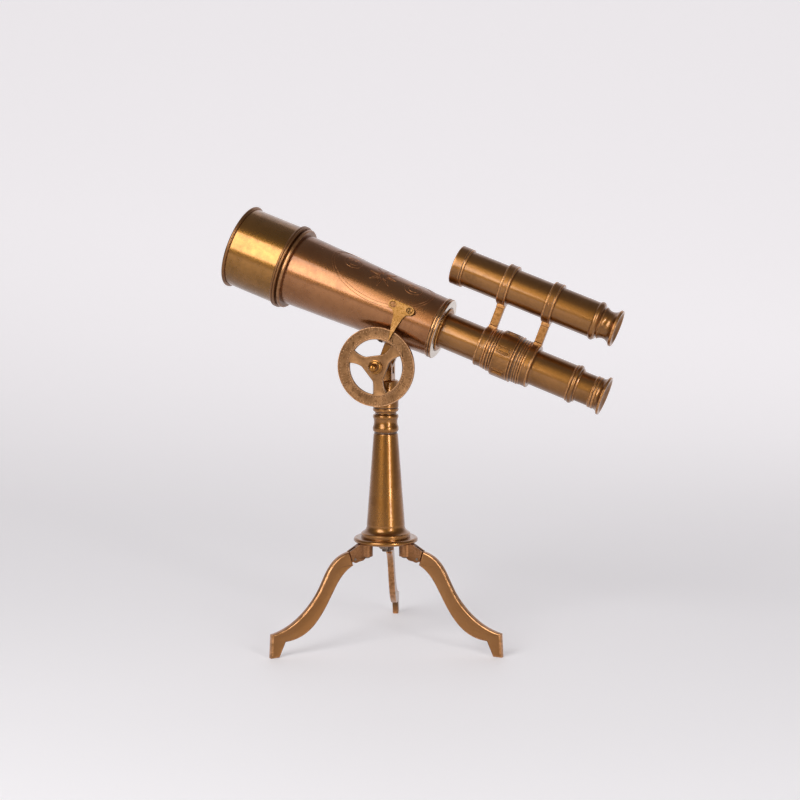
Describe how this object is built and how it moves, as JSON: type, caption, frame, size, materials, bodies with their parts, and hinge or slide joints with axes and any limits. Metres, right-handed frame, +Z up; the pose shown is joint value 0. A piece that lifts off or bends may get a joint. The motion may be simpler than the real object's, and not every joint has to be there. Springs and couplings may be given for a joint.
{
  "type": "table telescope on tripod",
  "caption": "Antique-brass table telescope with a finder tube, a tilting fork head with a graduated wheel, and a folding three-leg stand.",
  "frame": {"origin": "on the column axis, in the plane of the three soles", "axes": "+Z up along the column; the tilt axle lies along Y, with the wheel on the -Y side; the objective points to -X, raised 20.8 degrees"},
  "size_m": [0.2652, 0.1469, 0.2873],
  "materials": {
    "polished_brass": "polished yellow brass with a mottled tarnish",
    "copper_brown_brass": "lacquered copper-brown brass, semi-gloss",
    "antique_bronze": "antiqued bronze-brown brass, satin, darker in the grooves",
    "cast_bronze": "matt cast bronze, slightly grainy",
    "bright_brass": "bright yellow brass",
    "golden_brown_brass": "golden-brown antiqued brass, satin",
    "dark_steel": "browned steel",
    "black_stop": "matt black",
    "lens_glass": "clear polished glass"
  },
  "bodies": {
    "tripod": {"base_plate": "golden_brown_brass", "column": "golden_brown_brass", "pivot_rod": "dark_steel", "rod_washer": "dark_steel", "rod_nut": "dark_steel", "hinge_pins": "dark_steel", "lug_screws": "dark_steel", "leg_lug_back": "golden_brown_brass", "leg_lug_left": "golden_brown_brass", "leg_lug_right": "golden_brown_brass"},
    "leg_back_body": {"leg_back": "golden_brown_brass"},
    "leg_left_body": {"leg_left": "golden_brown_brass"},
    "leg_right_body": {"leg_right": "golden_brown_brass"},
    "head": {"swivel_head": "golden_brown_brass", "swivel_set_screw": "dark_steel", "fork": "golden_brown_brass", "tilt_axle": "dark_steel", "axle_sleeve": "golden_brown_brass", "axle_washer": "dark_steel", "axle_nut": "dark_steel"},
    "wheel": {"tilt_wheel": "cast_bronze"},
    "knob": {"wheel_knob": "bright_brass"},
    "tube": {"barrel": "copper_brown_brass", "objective_cell": "polished_brass", "objective_lens": "lens_glass", "lens_ring": "polished_brass", "rear_flange": "antique_bronze", "draw_bush": "bright_brass", "tilt_bracket": "golden_brown_brass", "bracket_screws": "dark_steel", "pointer": "bright_brass", "pointer_screws": "bright_brass", "pointer_spacers": "bright_brass"},
    "hood": {"hood_tube": "polished_brass", "hood_front_rim": "polished_brass", "hood_back_ring": "polished_brass"},
    "draw": {"draw_tube": "antique_bronze", "draw_stop_ring": "antique_bronze", "field_stop": "black_stop", "clamp_sleeve": "antique_bronze", "ring_screws": "dark_steel", "rear_collar": "antique_bronze", "clamp_ring_front": "antique_bronze", "clamp_ring_rear": "antique_bronze", "finder_ring_front": "antique_bronze", "finder_ring_rear": "antique_bronze", "post_front": "antique_bronze", "post_rear": "antique_bronze", "finder_tube": "antique_bronze", "finder_cap": "antique_bronze", "finder_lens": "lens_glass", "finder_collar": "antique_bronze"},
    "eyepiece": {"eyepiece_tube": "antique_bronze", "eyecup": "antique_bronze", "eye_lens": "lens_glass"},
    "finder_eyepiece": {"finder_eyepiece_tube": "antique_bronze", "finder_eyecup": "antique_bronze", "finder_eye_lens": "lens_glass"}
  },
  "joints": [
    {"name": "leg_back_fold", "type": "hinge", "parent": "tripod", "child": "leg_back_body", "pos_m": [-0.00502, 0.02361, 0.05832], "axis": [-0.9781, -0.2079, 0], "range_deg": [0, 45]},
    {"name": "leg_left_fold", "type": "hinge", "parent": "tripod", "child": "leg_left_body", "pos_m": [-0.01662, -0.01751, 0.05832], "axis": [0.7254, -0.6884, 0], "range_deg": [0, 45]},
    {"name": "leg_right_fold", "type": "hinge", "parent": "tripod", "child": "leg_right_body", "pos_m": [0.02365, -0.00481, 0.05832], "axis": [0.1994, 0.9799, 0], "range_deg": [0, 45]},
    {"name": "azimuth_swivel", "type": "hinge", "parent": "tripod", "child": "head", "pos_m": [0, 0, 0.1533], "axis": [0, 0, 1], "continuous": true},
    {"name": "altitude_tilt", "type": "hinge", "parent": "head", "child": "tube", "pos_m": [0, 0, 0.1852], "axis": [0, 1, 0], "range_deg": [-50, 50]},
    {"name": "wheel_turn", "type": "hinge", "parent": "head", "child": "wheel", "pos_m": [0, -0.0212, 0.1852], "axis": [0, -1, 0], "continuous": true},
    {"name": "knob_turn", "type": "hinge", "parent": "head", "child": "knob", "pos_m": [0, -0.025, 0.1852], "axis": [0, -1, 0], "continuous": true},
    {"name": "hood_slide", "type": "slide", "parent": "tube", "child": "hood", "axis": [-0.9348, 0, 0.3551], "range_m": [0, 0.018]},
    {"name": "draw_slide", "type": "slide", "parent": "tube", "child": "draw", "axis": [0.9348, 0, -0.3551], "range_m": [-0.018, 0.024]},
    {"name": "eyepiece_focus", "type": "slide", "parent": "draw", "child": "eyepiece", "axis": [0.9348, 0, -0.3551], "range_m": [-0.008, 0.008]},
    {"name": "finder_focus", "type": "slide", "parent": "draw", "child": "finder_eyepiece", "axis": [0.9348, 0, -0.3551], "range_m": [0, 0.006]}
  ]
}
